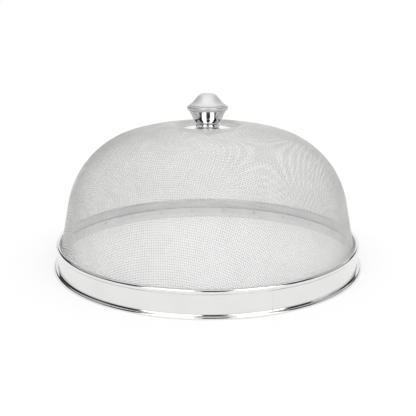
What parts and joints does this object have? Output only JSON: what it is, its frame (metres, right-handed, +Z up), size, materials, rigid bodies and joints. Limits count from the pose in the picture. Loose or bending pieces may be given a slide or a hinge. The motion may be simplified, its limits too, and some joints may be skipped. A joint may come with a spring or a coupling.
{
  "type": "wire mesh food cover",
  "caption": "Round food cover: a woven wire mesh dome clamped in a polished steel rim with a curled foot, and a hollow steel knob screwed on in a recess at the crown.",
  "frame": {"origin": "centre of the circle that the rim's bottom edge stands on", "axes": "+Z up along the cover's axis, towards the knob; the cover is round, so +X and +Y are any two level directions, with -Y towards the viewer of the picture"},
  "size_m": [0.32, 0.32, 0.1729],
  "materials": {
    "rim_steel": "polished",
    "hoop_steel": "satin",
    "mesh_wire": "drawn wire",
    "plate_steel": "polished",
    "knob_polished": "polished",
    "knob_satin": "satin",
    "insert_steel": "turned",
    "screw_zinc": "zinc plated"
  },
  "bodies": {
    "cover": {"rim_band": "rim_steel", "clamp_hoop": "hoop_steel", "mesh_dome": "mesh_wire", "top_plate": "plate_steel", "under_plate": "hoop_steel", "spring_washer": "screw_zinc"},
    "screw": {"fixing_screw": "screw_zinc"},
    "knob": {"knob_cup": "knob_polished", "knob_base": "insert_steel", "knob_insert": "insert_steel", "knob_cap": "knob_satin"}
  },
  "joints": [
    {"name": "screw_turn", "type": "hinge", "parent": "cover", "child": "screw", "pos_m": [0, 0, 0.1338], "axis": [0, 0, 1], "range_deg": [-3600, 0]},
    {"name": "knob_rise", "type": "slide", "parent": "cover", "child": "knob", "axis": [0, 0, 1], "range_m": [0, 0.008]}
  ],
  "couplings": [
    {"joint": "screw_turn", "follows": "knob_rise", "rad_per_m": -7854}
  ]
}
